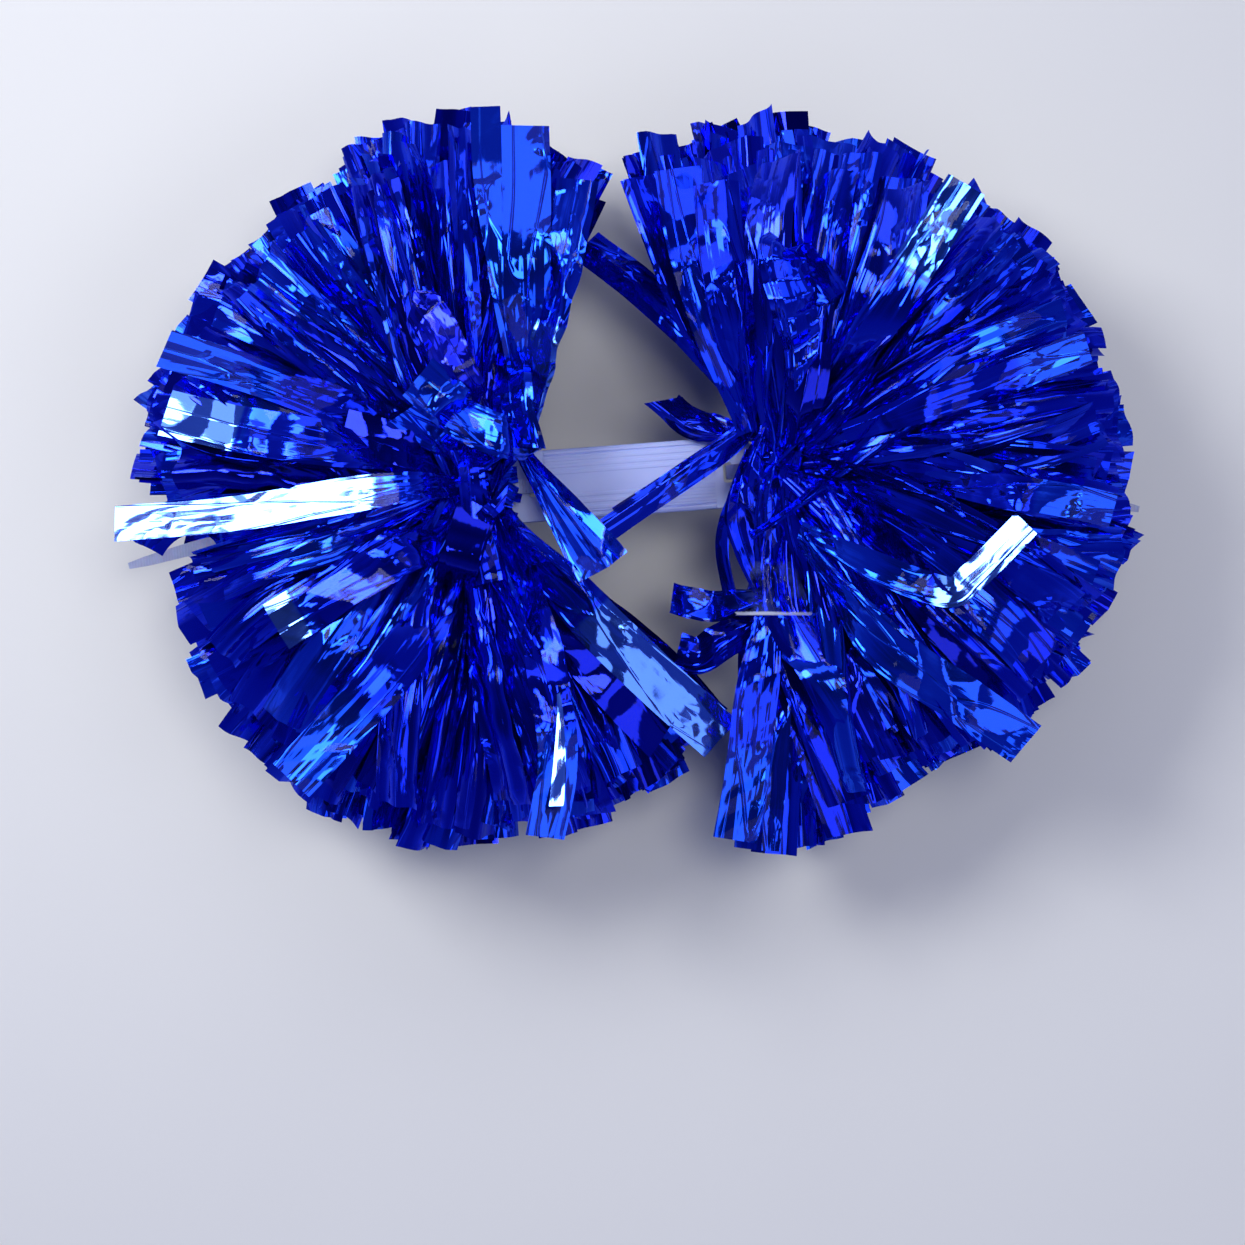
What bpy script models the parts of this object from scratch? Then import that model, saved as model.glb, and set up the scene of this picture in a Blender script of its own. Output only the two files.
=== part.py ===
"""A cheer pom pom lying on a table: a flat slotted handle with a head of film streamers tied to each end.

Metres, +Z up. The handle lies along X, the origin is on the table under its centre, and the left head is at -X.
Each head is a stack of slit film gathered into a band, held by a cable tie through the handle's slot.
Its streamers are modelled in bunches: a lower tier that lies on the table, and a middle and an upper tier that flex.
"""

import math

import bmesh
import bpy
from mathutils import Vector

# Handle
HANDLE_LENGTH = 0.083
HANDLE_WIDTH = 0.024
HANDLE_THICKNESS = 0.0032
HANDLE_HEIGHT = 0.046  # of its middle plane above the table
HANDLE_CORNER = 0.005
TONGUE_THICKNESS = 0.0022  # of its two ends, outside the grip
TONGUE_START = 0.0285  # distance from the middle at which an end begins
SLOT_X = 0.033
SLOT_LENGTH = 0.0070  # across the handle
SLOT_GAP = 0.0030  # along the handle

# Cable ties
TIE_WIDTH = 0.0046
TIE_THICKNESS = 0.0012
LOOP_HALF_LENGTH = 0.01375
LOOP_HALF_HEIGHT = 0.0078
TIE_BOX = (0.0055, 0.0075, 0.0072)
TIE_BOX_OUT = 0.0297  # middle of the lock box, outward from the slot
TIE_BOX_DROP = 0.0010
TIE_WINDOW_DROP = 0.0030
TIE_WINDOW = (0.0054, 0.0023)
TAIL_REACH = 0.1750  # distance of a tail's tip from the middle of the handle

# Gathered band of each head
BAND_OUT = 0.0190  # its axis, outward from the slot
BAND_HALF_LENGTH = 0.0190
BAND_WAIST = (0.0072, 0.0057)
BAND_END = (0.0095, 0.0092)
BAND_FLUTES = 11

# Streamers, measured from the axis of the band
ROOT_REACH = 0.0160  # at right angles to the band
ROOT_REACH_ALONG_BAND = 0.0245
FULL_REACH = 0.1180
TIER_GAP = 0.0032
SECTIONS = 5
PLEATS = 6
HEAD_X = SLOT_X + BAND_OUT

# Heights above the table of the surfaces between the tiers: (at the root, at the tip)
UNDERSIDE = (HANDLE_HEIGHT - 0.013, 0.0)
LOWER_TOP = (HANDLE_HEIGHT - 0.003, 0.027)
MIDDLE_TOP = (HANDLE_HEIGHT + 0.006, 0.057)
UPPER_TOP = (HANDLE_HEIGHT + 0.016, 0.102)
TABLE_CONTACT = 0.55  # share of a lower streamer's length at which it meets the table

# Each head's tiers: number of bunches, first and last azimuth in degrees, share of the pitch that they fill
TIERS = {
    "left": {
        "lower": (9, 65.0, 312.0, 0.90),
        "middle": (9, 66.0, 311.0, 0.86),
        "upper": (8, 68.0, 306.0, 0.76),
    },
    "right": {
        "lower": (8, -100.0, 113.0, 0.90),
        "middle": (8, -99.0, 112.0, 0.86),
        "upper": (7, -82.0, 110.0, 0.76),
    },
}
TIER_REACH = {"lower": 1.0, "middle": 1.0, "upper": 0.87}
BUNCH_REACH = {"left": {1: 0.98, 2: 1.06, 9: 0.96}, "right": {1: 1.07, 8: 0.98}}  # share, where it isn't 1

# Clear tape
TAPE_OUT = 0.0115  # its middle, outward from the root of its bunch
TAPE_WIDTH = 0.0160
TAPE_THICKNESS = 0.0005

MATERIALS = {
    "film_blue": ((0.010, 0.045, 0.620, 1.0), 0.22, 1.0),
    "handle_white": ((0.800, 0.800, 0.840, 1.0), 0.42, 0.0),
    "tie_natural": ((0.700, 0.710, 0.740, 1.0), 0.35, 0.0),
    "tape_clear": ((0.600, 0.650, 0.750, 1.0), 0.15, 0.0),
}
SIDES = {"left": -1.0, "right": 1.0}


def clear_scene():
    for obj in list(bpy.data.objects):
        bpy.data.objects.remove(obj, do_unlink=True)


def material(name):
    """The named Principled material, made once."""
    found = bpy.data.materials.get(name)
    if found:
        return found
    color, roughness, metallic = MATERIALS[name]
    made = bpy.data.materials.new(name)
    made.use_nodes = True
    made.diffuse_color = color
    shader = made.node_tree.nodes["Principled BSDF"]
    shader.inputs["Base Color"].default_value = color
    shader.inputs["Roughness"].default_value = roughness
    shader.inputs["Metallic"].default_value = metallic
    return made


def place(name, mesh, slot, parent=None, location=(0, 0, 0), turn=0.0):
    """A named object with its material, at location in its parent's space, turned about Z."""
    obj = bpy.data.objects.new(name, mesh)
    bpy.context.scene.collection.objects.link(obj)
    mesh.materials.append(material(slot))
    obj.parent = parent
    obj.location = location
    obj.rotation_euler = (0, 0, turn)
    return obj


def empty(name, location):
    obj = bpy.data.objects.new(name, None)
    bpy.context.scene.collection.objects.link(obj)
    obj.location = location
    return obj


def finished(name, bm):
    """A mesh from bm with its normals facing out."""
    bmesh.ops.recalc_face_normals(bm, faces=bm.faces)
    mesh = bpy.data.meshes.new(name)
    bm.to_mesh(mesh)
    bm.free()
    return mesh


def skin(name, rings):
    """A closed mesh over rings of equal length. Its ends are strips of quads between a ring's two halves."""
    bm = bmesh.new()
    rows = [[bm.verts.new(point) for point in ring] for ring in rings]
    count = len(rings[0])
    for near, far in zip(rows, rows[1:]):
        for i in range(count):
            j = (i + 1) % count
            bm.faces.new((near[i], near[j], far[j], far[i]))
    for row in (rows[0], rows[-1]):
        for i in range(count // 2 - 1):
            bm.faces.new((row[i], row[i + 1], row[-2 - i], row[-1 - i]))
    return finished(name, bm)


def box_mesh(name, size, centre=(0, 0, 0)):
    bm = bmesh.new()
    bmesh.ops.create_cube(bm, size=1.0)
    bmesh.ops.scale(bm, vec=size, verts=bm.verts)
    bmesh.ops.translate(bm, vec=centre, verts=bm.verts)
    return finished(name, bm)


def rounded_plate(name, length, width, height, corner, steps=6):
    """A plate with rounded corners in plan, centred on the origin."""
    outline = []
    for quarter in range(4):
        for step in range(steps + 1):
            angle = math.radians(90 * (quarter + step / steps))
            centre_x = (length / 2 - corner) * (1 if quarter in (0, 3) else -1)
            centre_y = (width / 2 - corner) * (1 if quarter in (0, 1) else -1)
            outline.append((centre_x + corner * math.cos(angle), centre_y + corner * math.sin(angle)))
    bm = bmesh.new()
    base = bm.faces.new([bm.verts.new((x, y, -height / 2)) for x, y in outline])
    top = bmesh.ops.extrude_face_region(bm, geom=[base])["geom"]
    verts = [item for item in top if isinstance(item, bmesh.types.BMVert)]
    bmesh.ops.translate(bm, vec=(0, 0, height), verts=verts)
    return finished(name, bm)


def boolean(obj, operation, cutter):
    """Adds a Boolean with a cutter that doesn't render."""
    cutter.hide_render = True
    cutter.display_type = "WIRE"
    modifier = obj.modifiers.new(cutter.name, "BOOLEAN")
    modifier.operation = operation
    modifier.solver = "EXACT"
    modifier.object = cutter


def handle_profile():
    """The handle's section, as (y, z) points: a flat middle, shallow ribs and a bead along each edge."""
    half, top = HANDLE_WIDTH / 2, HANDLE_THICKNESS / 2
    rib, groove, bead = 0.00012, 0.00035, 0.0018
    upper = [(0.0028, 0.0)]
    for rib_y in (0.0040, 0.0062, 0.0084):
        upper += [(rib_y - 0.0007, 0.0), (rib_y - 0.0004, rib), (rib_y + 0.0004, rib), (rib_y + 0.0007, 0.0)]
    upper += [(half - bead - 0.0006, 0.0), (half - bead - 0.0002, -groove), (half - bead + 0.0002, 0.0)]
    edge = [(half - 0.0010, 0.0), (half - 0.0003, -0.0004), (half, -0.0011)]
    side = [(y, top + drop) for y, drop in upper + edge]
    right = side + [(y, -z) for y, z in reversed(side)]
    left = [(-y, z) for y, z in reversed(right)]
    return right + left


def add_handle():
    """An extruded bar with rounded ends, a thinner tongue at each end, and a slot through each tongue."""
    bm = bmesh.new()
    section = [bm.verts.new((-HANDLE_LENGTH / 2, y, z)) for y, z in handle_profile()]
    face = bm.faces.new(section)
    far = bmesh.ops.extrude_face_region(bm, geom=[face])["geom"]
    verts = [item for item in far if isinstance(item, bmesh.types.BMVert)]
    bmesh.ops.translate(bm, vec=(HANDLE_LENGTH, 0, 0), verts=verts)
    centre = (0, 0, HANDLE_HEIGHT)
    handle = place("handle", finished("handle", bm), "handle_white", location=centre)
    ends = rounded_plate("handle_ends", HANDLE_LENGTH - 0.0002, HANDLE_WIDTH + 0.001, 0.02, HANDLE_CORNER)
    boolean(handle, "INTERSECT", place("handle_ends", ends, "handle_white", location=centre))
    relief = (HANDLE_LENGTH / 2 - TONGUE_START + 0.002, HANDLE_WIDTH + 0.004, 0.002)
    for side, sign in SIDES.items():
        middle_x = sign * (TONGUE_START + relief[0] / 2)
        for face_name, up in (("top", 1), ("bottom", -1)):
            name = f"{side}_{face_name}_relief"
            at = (middle_x, 0, up * (TONGUE_THICKNESS / 2 + relief[2] / 2))
            cutter = place(name, box_mesh(name, relief, at), "handle_white", location=centre)
            boolean(handle, "DIFFERENCE", cutter)
        name = f"{side}_slot"
        slot = rounded_plate(name, SLOT_GAP, SLOT_LENGTH, 0.01, SLOT_GAP * 0.3, steps=3)
        at = (sign * SLOT_X, 0, HANDLE_HEIGHT)
        boolean(handle, "DIFFERENCE", place(name, slot, "handle_white", location=at))
    handle.data.set_sharp_from_angle(angle=math.radians(30))


def smooth_path(points, steps):
    """Points on a Catmull-Rom curve through the given points."""
    padded = [2 * points[0] - points[1], *points, 2 * points[-1] - points[-2]]
    path = []
    for a, b, c, d in zip(padded, padded[1:], padded[2:], padded[3:]):
        for step in range(steps):
            t = step / steps
            path.append(
                0.5 * (2 * b + (c - a) * t + (2 * a - 5 * b + 4 * c - d) * t**2 + (3 * b - a - 3 * c + d) * t**3)
            )
    return path + [points[-1]]


def strap(name, path, width, thickness, across=Vector((0, 1, 0)), taper=0):
    """A flat strap along a path, as wide along across as the path allows. Its last taper sections narrow to a tip."""
    rings = []
    for i, point in enumerate(path):
        ahead = (path[min(i + 1, len(path) - 1)] - path[max(i - 1, 0)]).normalized()
        side = (across - across.dot(ahead) * ahead).normalized()
        up = ahead.cross(side)
        left = len(path) - 1 - i
        share = 1.0 if left >= taper else 0.45 + 0.55 * math.sqrt(left / taper)
        half = side * width * share / 2
        rise = up * thickness / 2
        rings.append([point - half + rise, point + half + rise, point + half - rise, point - half - rise])
    return skin(name, rings)


def between(surface, share):
    """Height of a surface between tiers at a share of a streamer's length."""
    root, tip = surface
    if surface is UNDERSIDE:
        return root * max(0.0, 1 - share / TABLE_CONTACT) ** 1.3
    return root + (tip - root) * math.sin(share * math.pi / 2)


def root_reach(azimuth):
    return ROOT_REACH + (ROOT_REACH_ALONG_BAND - ROOT_REACH) * abs(math.sin(azimuth)) ** 0.7


def add_tie(side, sign, head, tail_y):
    """A cable tie: its loop passes through the slot and round the band, and its tail runs out between the tiers."""

    def at(out, across, up):
        return Vector((sign * out, across, up))

    loop = []
    for degrees in range(10, 321, 10):
        angle = math.radians(degrees)
        out = LOOP_HALF_LENGTH * (1 + math.cos(angle))
        loop.append(at(out, 0, LOOP_HALF_HEIGHT * math.sin(angle)))
    through_box = [
        at(TIE_BOX_OUT - 0.0032, 0, -TIE_WINDOW_DROP - 0.0005),
        at(TIE_BOX_OUT, 0, -TIE_WINDOW_DROP),
        at(TIE_BOX_OUT + 0.0033, 0, -TIE_WINDOW_DROP),
    ]
    azimuth = math.atan2(tail_y, TAIL_REACH - HEAD_X)
    tail = []
    for step in range(1, 7):
        share = step / 6
        start = ROOT_REACH + 0.004
        reach = start + (TAIL_REACH - HEAD_X - start) * share
        height = between(LOWER_TOP, max(0.0, (reach - ROOT_REACH) / (FULL_REACH - ROOT_REACH)))
        tail.append(at(BAND_OUT + reach, math.tan(azimuth) * reach * share**0.5, height - HANDLE_HEIGHT))
    path = loop[:-1] + smooth_path(loop[-1:] + through_box, 3) + smooth_path(tail, 3)
    mesh = strap(f"{side}_cable_tie", path, TIE_WIDTH, TIE_THICKNESS, taper=4)
    tie = place(f"{side}_cable_tie", mesh, "tie_natural", parent=head)
    box_at = at(TIE_BOX_OUT, 0, -TIE_BOX_DROP)
    name = f"{side}_tie_box"
    lock_box = place(name, box_mesh(name, TIE_BOX, box_at), "tie_natural", parent=head)
    name = f"{side}_tie_window"
    size = (TIE_BOX[0] + 0.004, *TIE_WINDOW)
    window = place(name, box_mesh(name, size, at(TIE_BOX_OUT, 0, -TIE_WINDOW_DROP)), "tie_natural", parent=head)
    boolean(lock_box, "DIFFERENCE", window)
    boolean(tie, "UNION", lock_box)


def add_band(side, sign, head):
    """The uncut middle of the film stack, gathered into a fluted waist where the tie grips it."""
    rings = []
    count = 2 * BAND_FLUTES
    for step in range(9):
        share = step / 4 - 1
        flare = abs(share) ** 1.6
        half_x = BAND_WAIST[0] + (BAND_END[0] - BAND_WAIST[0]) * flare
        half_z = BAND_WAIST[1] + (BAND_END[1] - BAND_WAIST[1]) * flare
        ring = []
        for i in range(count):
            angle = 2 * math.pi * i / count
            flute = 1 - 0.10 * (i % 2)
            ring.append(
                (half_x * flute * math.cos(angle), share * BAND_HALF_LENGTH, half_z * flute * math.sin(angle))
            )
        rings.append(ring)
    at = (sign * BAND_OUT, 0, 0)
    place(f"{side}_gathered_band", skin(f"{side}_gathered_band", rings), "film_blue", parent=head, location=at)


def bunch_mesh(name, tier, azimuth, half_angle, reach):
    """A pleated bunch of streamers along +X from its hinge, which is the middle of its root's lower edge."""
    surfaces = {"lower": (UNDERSIDE, LOWER_TOP), "middle": (LOWER_TOP, MIDDLE_TOP), "upper": (MIDDLE_TOP, UPPER_TOP)}
    below, above = surfaces[tier]
    under_gap = 0.0 if tier == "lower" else TIER_GAP / 2
    root = root_reach(azimuth)
    hinge = between(below, 0.0) + under_gap
    rings = []
    for section in range(SECTIONS + 1):
        share = section / SECTIONS
        out = root + (reach - root) * share
        half = out * math.tan(half_angle)
        low = between(below, share) + under_gap - hinge
        high = between(above, share) - TIER_GAP / 2 - hinge
        fold = 0.10 * (high - low)
        top, bottom = [], []
        for i in range(PLEATS + 1):
            across = half * (2 * i / PLEATS - 1)
            ragged = 0.004 * (i % 2) * (share == 1.0)
            drop = fold * (i % 2)
            lift = fold * (i % 2) * (tier != "lower")
            top.append((out - root - ragged, across, high - drop))
            bottom.append((out - root - ragged, across, low + lift))
        rings.append(top + bottom[::-1])
    return skin(name, rings), root, hinge


def add_streamers(side, sign, head):
    """Every tier of one head, bunch by bunch round its band."""
    for tier, (count, first, last, fill) in TIERS[side].items():
        pitch = (last - first) / count
        for i in range(count):
            azimuth = math.radians(first + pitch * (i + 0.5))
            reach = FULL_REACH * TIER_REACH[tier] * BUNCH_REACH[side].get(i + 1, 1.0)
            name = f"{side}_{tier}_streamers_{i + 1}"
            mesh, root, hinge = bunch_mesh(name, tier, azimuth, math.radians(pitch * fill / 2), reach)
            out = (math.cos(azimuth), math.sin(azimuth))
            at = (sign * BAND_OUT + root * out[0], root * out[1], hinge - HANDLE_HEIGHT)
            place(name, mesh, "film_blue", parent=head, location=at, turn=azimuth)


def add_stray(name, head, points, width, across):
    """A single streamer that lies outside the fans. Its points are in its head's space."""
    path = smooth_path([Vector(point) for point in points], 3)
    mesh = strap(name, path, width, 0.0008, across=Vector(across).normalized())
    place(name, mesh, "film_blue", parent=head)


def add_tape():
    """Clear tape on the root of a middle bunch of the right head: flat on its top, and bent down beside it."""
    bunch = bpy.data.objects["right_middle_streamers_1"]
    bend = [(0.0030, 0.0084), (-0.0030, 0.0086), (-0.0085, 0.0082), (-0.0135, 0.0062), (-0.0180, 0.0030)]
    points = smooth_path([Vector((TAPE_OUT, across, up)) for across, up in bend], 2)
    mesh = strap("right_clear_tape", points, TAPE_WIDTH, TAPE_THICKNESS, across=Vector((1, 0, 0)))
    place("right_clear_tape", mesh, "tape_clear", parent=bunch)


def main():
    clear_scene()
    add_handle()
    heads = {}
    for side, sign in SIDES.items():
        head = empty(f"{side}_head", (sign * SLOT_X, 0, HANDLE_HEIGHT))
        heads[side] = head
        add_tie(side, sign, head, tail_y=-0.016 if side == "left" else -0.022)
        add_band(side, sign, head)
        add_streamers(side, sign, head)
    over_left = [(-0.005, 0.020, 0.011), (0.003, 0.008, 0.012), (0.012, -0.006, 0.012), (0.024, -0.026, 0.010)]
    add_stray("left_crossing_streamer", heads["left"], over_left, 0.0155, (0.846, 0.533, 0))
    over_right = [(0.010, 0.015, 0.015), (-0.003, 0.008, 0.014), (-0.016, -0.001, 0.014), (-0.027, -0.009, 0.013)]
    add_stray("right_crossing_streamer", heads["right"], over_right, 0.0080, (0.5, -0.85, 0))
    up_left = [(0.001, 0.024, 0.004), (-0.013, 0.047, -0.001), (-0.030, 0.071, -0.008)]
    add_stray("right_stray_streamer", heads["right"], up_left, 0.0130, (0.85, 0.5, 0))
    add_tape()


main()
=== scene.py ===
"""The looks of a cheer pom pom: film streamers, gathered bands, tape, and its handle's and ties' plastics.

Every length below is in millimetres and every angle in degrees, unless a name or a comment says otherwise.
The frame is the CAD's: the handle lies along X, the heads' bands stand across its ends along Y, and the
table is z = 0.
"""

import math
from collections import namedtuple

import bpy
import numpy as np
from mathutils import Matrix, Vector


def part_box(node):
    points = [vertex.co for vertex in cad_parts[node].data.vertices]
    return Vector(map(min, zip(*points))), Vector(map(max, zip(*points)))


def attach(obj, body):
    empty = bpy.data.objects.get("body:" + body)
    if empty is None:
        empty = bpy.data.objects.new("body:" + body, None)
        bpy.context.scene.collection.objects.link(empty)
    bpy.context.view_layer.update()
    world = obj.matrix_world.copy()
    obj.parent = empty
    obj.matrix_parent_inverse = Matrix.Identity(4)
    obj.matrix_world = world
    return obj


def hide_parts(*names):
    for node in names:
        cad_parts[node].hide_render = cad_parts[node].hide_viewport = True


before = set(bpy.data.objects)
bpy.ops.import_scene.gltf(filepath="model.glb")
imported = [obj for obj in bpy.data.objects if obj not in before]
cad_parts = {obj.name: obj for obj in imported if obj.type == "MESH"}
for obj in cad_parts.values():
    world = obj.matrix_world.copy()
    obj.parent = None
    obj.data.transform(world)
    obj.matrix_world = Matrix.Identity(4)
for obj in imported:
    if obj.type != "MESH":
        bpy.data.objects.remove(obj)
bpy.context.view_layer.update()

MM = 0.001
SEED = 426
SIDES = ("left", "right")

# Film streamers
FILM_WIDTH = 15.8
ALONG, ACROSS = 38, 12  # quads along and across each strip
FINE = (90, 22)  # the same for a strip that lies in full view
CREASE_ANGLE = 62  # an edge sharper than this isn't shaded smooth
LOWEST = 0.25  # the least height of the film over the table
RANDOM_TONES_AND_PAINTED_SHADE = (0.0, 0.95)  # of the strips that aren't given one: a place on the film's colour ramp, whose dark end is painted shade
TINT_BLEND = 0.04  # share of a strip over which one tint turns into another
FILM_SHEET = 900.0  # of the sheet that each strip takes its creases from

# A strip's folds and its turn. A span is the part of the strip's length over which something comes or goes
FOLD_SHARE = 0.3  # width of a fold's rounded edge, as a share of an even quad
FOLD_MARGIN = 2  # quads between a fold and the strip's edge
PANEL_TILTS = (0.75, 1.15)  # of the panels, as shares of the fold angle
STEEPEST = 1.5  # of the tilts, in radians
PLEAT_WAVES, PLEAT_DRIFT = (0.7, 1.7), (-0.3, 0.3)  # in waves
UNFOLDING_SPAN = (0.08, 0.62)
FACING_SPAN = (0.15, 0.45)
CURLING_SPAN, CURL_LEVEL = (0.3, 1.0), 0.4
SLANTING_SPAN = (0.9, 1.0)
WANDER, WANDER_RATE = (2, 6), (4, 9)  # of a strip's turn, with the rate in radians for the whole strip
PHASES = (0, 6)  # of its waves, in radians

# Crinkles: their lengths, how much a length varies, and their height as a share of it
CRINKLE_LENGTHS = (36.0, 20.0, 12.0)
CRINKLE_SIZES = (0.8, 1.25)
CRINKLE_HEIGHTS = (0.006, 0.026)
CRINKLE_BEND = 0.25  # in waves
BEND_ALONG, BEND_ACROSS = (9, 20), (4, 9)  # the distance that a bend takes for a radian
CRINKLE_CALM, CALM_ALONG = 0.25, (30, 60)  # what is left in calm stretches, and their distance for a radian
TIP_SPAN, TIP_CALM = (0.5, 0.95), 0.5
ROOT_SPAN = (0.0, 0.12)

# How a strip runs from the band to its tip
ROOT_ELLIPSE = (5.5, 16.5)  # half-axes of the band's outline where the strips leave it
OVER_BAND = 11.0  # how far behind the middle of the band the strips start that arch over it
ROOT_SPREAD = (2.6, 6.0)  # how far their roots stray across and along the band
PATH_PULL = (0.38, 0.36)  # of the curve's handles at the root and the tip, as shares of the span
TIP_STRAY = 1.5
REACH = 115.0  # of the tips, from the middle of the band
REACH_CHANGES = {  # where a head's edge is longer or shorter: azimuth, spread, change
    "left": ((93, 14, 13.0), (262, 32, 5.0), (188.5, 8.5, -36.0), (212, 9, -6.0)),
    "right": ((-91, 12, 13.0), (-30, 25, 3.0), (97, 10, 5.0), (40, 35, -2.0)),
}

# The tiers. root and tip are heights and root_rise is an angle, each in the lowest layer and what it gains
# by the highest. reach is the least and the most share of the head's reach, and tip_rise the least and the
# most angle
TIERS = {
    "lower": dict(root=(36, 6), tip=(1.0, 25), reach=(0.90, 1.01), root_rise=(-36, 20), tip_rise=(-3, 6)),
    "middle": dict(root=(42, 7), tip=(34, 22), reach=(0.93, 1.02), root_rise=(-4, 22), tip_rise=(-16, 2)),
    "upper": dict(root=(50, 8), tip=(25, 27), reach=(0.93, 1.03), root_rise=(20, 36), tip_rise=(-34, -4)),
}
UPPER_BASE = 30  # the height that the upper tier's tips are counted from
UPPER_REACH = (0.99, -0.12)  # a further share of the reach: the highest strips are the shortest
BESIDE_GAP = (0.45, 0.55)  # share of the upper tier's height beside the gap, and what it gains away from it
GAP_WIDTH, GAP_MARGIN = 48.0, -5.0  # how far round a head the strips lie lower beside the gap

# Strips of the upper tier that arch over the band: how far from the gap, from which layer, and what share of
# the others. ARCH_REACH is a share in the lowest layer and what it gains. The rest are ranges
ARCH_AWAY, ARCH_LAYER, ARCH_SHARE = 0.3, 0.6, 0.15
ARCH_ROOT, ARCH_RISE, ARCH_TIP_RISE = (55, 60), (14, 30), (-40, -8)
ARCH_REACH, ARCH_STRAY = (1.0, -0.14), (0.92, 1.03)

# Stacks of strips that cling together: what they share, and how each strip strays from it. A pair is a range,
# and a single number that isn't a share is a standard deviation
STACK_SIZES = (1, 1, 2, 3, 4)
STACK_PLACE = (0.1, 0.9)  # within its share of the bunch
STRAY_SHARE = 0.12  # of the stacks, those that lie well across their neighbours
STRAY_SHIFT, CALM_SHIFT, BOW = 11.0, 3.0, 6
SOFT_SHARE = 0.5  # of the stacks, those with soft pleats
PANELS = (1, 2, 2, 3, 4)
ROOT_FOLDS, SOFT_TIP_FOLDS, TIP_FOLDS = (66, 84), (14, 56), (4, 40)
STACK_ROLLS = (50, 26)  # at the root and the tip, as standard deviations
CRUMPLE_KINDS, CRUMPLE_SHARES = (0.4, 1.0, 2.4), (0.48, 0.30, 0.22)
TIP_SHIFT, ROOT_SHIFT, STRIP_ROLL, STRIP_CURL, STRIP_SLANT = 1.3, 1.5, 6, 1.0, 0.7

# Listed strips come to rest on the film below, by a map of its height
CELL = 4.0
MAP_CORNER, MAP_CELLS = (-200.0, -160.0), (100, 80)
REST_GAP = 1.0
REST_POINTS, ROOT_POINTS = 60, 10  # along the path, and those near the root that may sink into the film
REST_ASIDE = 0.3  # share of the width that the strip rests on, to each side
CLEAR_PERCENT = 82
MOST_LIFT, MOST_DROP = 26.0, 10.0
HIGHEST = 106.0  # of the points of a listed strip

# Bunches, as in the CAD: number, first and last azimuth, strips in each
BUNCHES = {
    "left": {
        "lower": (9, 65.0, 312.0, 12),
        "middle": (9, 66.0, 311.0, 20),
        "upper": (8, 68.0, 306.0, 30),
    },
    "right": {
        "lower": (8, -100.0, 113.0, 12),
        "middle": (8, -99.0, 112.0, 20),
        "upper": (7, -82.0, 110.0, 30),
    },
}

# The band's film, pleated round the tie
BAND_PLEATS, PLEAT_WIDTH, PLEAT_FOLDS, PLEAT_TILT, PLEAT_CRUMPLE = 26, 7.0, 4, 62, 0.25
BAND_HALF, BAND_STEPS = 19, 9
BAND_WAIST = (6.4, 4.9)  # half-axes
BAND_FLARE, FLARE_POWER = (2.4, 3.0), 1.6  # what the ends add to them
PLEAT_STRAY, PLEAT_SIZES = 0.3, (0.94, 1.02)

# The tape and the strips that it gathers: their side, last azimuth and neck
TAPED_SIDE, TAPED_LAST, TAPED_NECK = "right", -72.0, (47.0, -44.0)
TAPED_NODE = "right_middle_streamers_1"
TAPED_LOOK = dict(gather=0.52, spread=(0.20, 0.60))
NECK_STRAY, NECK_DROP = (2.6, 2.0), 1.0
SWELL_SHARE, SWELL = 0.35, 5  # how far the strips stand up again past the neck
TAPE_CORNERS = ((31.0, -48.0), (57.0, -50.0), (52.0, -32.0), (39.0, -31.0))  # the edge at the tips first
TAPE_POINTS = (44, 60)  # along and across
TAPE_TOP, TAPE_SAG = 65.0, 0.035
TAPE_RIPPLES = ((0.5, 3.1, 5.3), (0.35, -6.1, 2.3))  # height, and the distances along X and Y for a radian
TAPE_BUBBLES, BUBBLE_SIZES, BUBBLE_HEIGHT = 11, (0.9, 2.1), 0.9
BUBBLE_ROWS, BUBBLE_COLUMNS = (8, 40), (4, 40)
EDGE_ROLL, EDGE_RADIUS, EDGE_SPAN = 150, 0.6, (0.0, 0.06)
EDGE_HIGHLIGHT_SPAN = (0.03, 0.07)  # where the painted highlight along the rolled edge ends

# Materials: those of the CAD's own shapes, and the colours from one end of each ramp to the other
NODE_MATERIALS = {"handle": "handle_white", "left_cable_tie": "tie_natural", "right_cable_tie": "tie_natural"}
# The film's colour ramp. From about 0.10 to 0.94 it is the film's own blue, which differs at random from
# strip to strip. Below about 0.10 it is painted shade: near-black strips where shade falls between the
# clusters. From 0.97, which no random strip takes, it is painted highlight: paler film that shows white and
# light blue.
FILM_TONES_AND_PAINTED_LIGHT = (
    (0.00, (0.0018, 0.0060, 0.340)),
    (0.10, (0.0032, 0.0140, 0.600)),
    (0.35, (0.0040, 0.0200, 0.680)),
    (0.62, (0.0052, 0.0330, 0.740)),
    (0.80, (0.0080, 0.0640, 0.800)),
    (0.87, (0.0110, 0.0180, 0.660)),
    (0.94, (0.0070, 0.0460, 0.740)),
    (0.97, (0.0450, 0.1600, 0.850)),
    (1.00, (0.1000, 0.2400, 0.920)),
)
# The handle's white plastic with a painted blue cast: the blue light that the film throws on it, painted in
HANDLE_WHITE_AND_PAINTED_BLUE_LIGHT = ((0.25, (0.46, 0.54, 0.97)), (0.55, (0.48, 0.56, 0.98)), (0.85, (0.50, 0.58, 0.99)))
TIE_COLORS = ((0.3, (0.36, 0.40, 0.62)), (0.7, (0.44, 0.48, 0.72)))
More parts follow.
